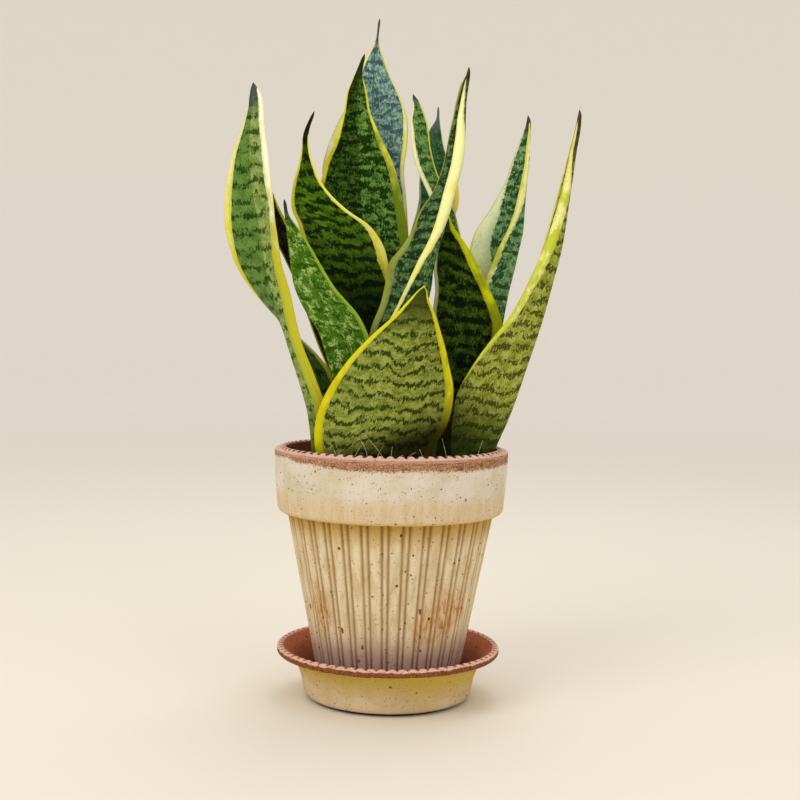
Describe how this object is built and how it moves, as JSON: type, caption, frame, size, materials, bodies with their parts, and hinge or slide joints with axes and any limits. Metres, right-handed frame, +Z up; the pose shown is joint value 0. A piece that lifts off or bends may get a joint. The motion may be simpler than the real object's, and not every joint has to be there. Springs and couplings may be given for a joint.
{
  "type": "potted snake plant",
  "caption": "Stiff upright sword-shaped leaves with pale borders, growing from soil in a fluted clay pot with a beaded rim, on a matching lipped saucer.",
  "frame": {"origin": "middle of the saucer's flat foot, on the surface it stands on", "axes": "+Z up; -Y towards the side it is seen from in the picture; +X to the right from that side"},
  "size_m": [0.2092, 0.14, 0.411],
  "materials": {
    "saucer_clay": "matte lime-washed terracotta",
    "pot_clay": "matte lime-washed terracotta",
    "soil": "matte crumbly",
    "leaf_olive": "satin",
    "leaf_mid_green": "satin",
    "leaf_shade": "satin",
    "leaf_bright_green": "satin",
    "leaf_dark_olive": "satin",
    "leaf_dark_green": "satin",
    "leaf_blue_grey": "satin",
    "leaf_deep_green": "satin",
    "leaf_grey_olive": "satin",
    "leaf_blue_green": "satin"
  },
  "bodies": {
    "root": {"saucer": "saucer_clay", "pot": "pot_clay", "soil": "soil", "leaf_front": "leaf_olive", "leaf_far_left": "leaf_mid_green", "leaf_hidden_left": "leaf_shade", "leaf_short": "leaf_bright_green", "leaf_left": "leaf_dark_olive", "leaf_tall": "leaf_dark_green", "leaf_back": "leaf_blue_grey", "leaf_centre": "leaf_deep_green", "leaf_far_right": "leaf_grey_olive", "leaf_right_inner": "leaf_dark_green", "leaf_right": "leaf_blue_green", "leaf_right_back": "leaf_mid_green", "leaf_centre_back": "leaf_blue_green"}
  },
  "joints": []
}
